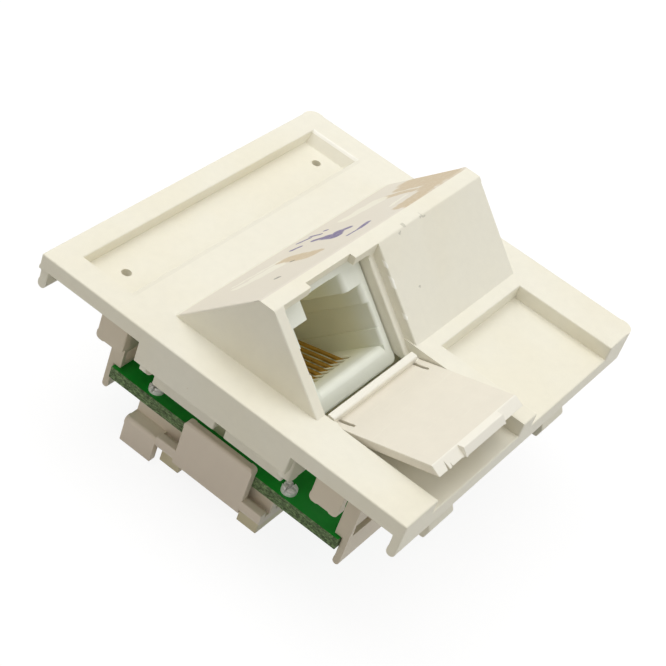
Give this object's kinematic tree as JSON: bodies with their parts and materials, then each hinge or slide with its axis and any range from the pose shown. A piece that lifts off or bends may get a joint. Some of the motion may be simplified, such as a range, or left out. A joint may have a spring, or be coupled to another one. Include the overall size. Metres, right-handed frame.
{
  "type": "data outlet insert",
  "caption": "Square data outlet insert: a roof-shaped wedge with a slanted modular port behind a hinged dust door, over a circuit board with wire termination strips.",
  "frame": {"origin": "middle of the square plate in plan, on the plane that the rear parts rest on", "axes": "+X along the ridge towards the blank half, +Y from the door's edge to the label's edge, +Z out of the face"},
  "size_m": [0.05, 0.05, 0.0302],
  "materials": {
    "ivory_plastic": "satin moulded, aged ivory",
    "jack_plastic": "smooth moulded, greenish white",
    "gold_wire": "gold plated",
    "board_laminate": "green solder mask with bare milled edges",
    "rear_plastic": "satin moulded, greyish beige",
    "strip_plastic": "satin moulded, yellowed cream",
    "tinned_blade": "tinned bronze",
    "pin_nylon": "bright natural nylon"
  },
  "bodies": {
    "base": {"face_plate": "ivory_plastic", "jack_housing": "jack_plastic", "circuit_board": "board_laminate", "rear_carrier": "rear_plastic", "idc_block_1": "strip_plastic", "idc_block_2": "strip_plastic", "jack_contact_1": "gold_wire", "jack_contact_2": "gold_wire", "jack_contact_3": "gold_wire", "jack_contact_4": "gold_wire", "jack_contact_5": "gold_wire", "jack_contact_6": "gold_wire", "jack_contact_7": "gold_wire", "jack_contact_8": "gold_wire", "idc_contact_1": "tinned_blade", "idc_contact_2": "tinned_blade", "idc_contact_3": "tinned_blade", "idc_contact_4": "tinned_blade", "idc_contact_5": "tinned_blade", "idc_contact_6": "tinned_blade", "idc_contact_7": "tinned_blade", "idc_contact_8": "tinned_blade", "board_pin_1": "pin_nylon", "board_pin_2": "pin_nylon", "board_pin_3": "pin_nylon", "board_pin_4": "pin_nylon"},
    "door": {"port_door": "ivory_plastic"}
  },
  "joints": [
    {"name": "door_hinge", "type": "hinge", "parent": "base", "child": "door", "pos_m": [-0.01012, -0.01065, 0.01988], "axis": [-1, 0, 0], "range_deg": [0, 117.3]}
  ]
}
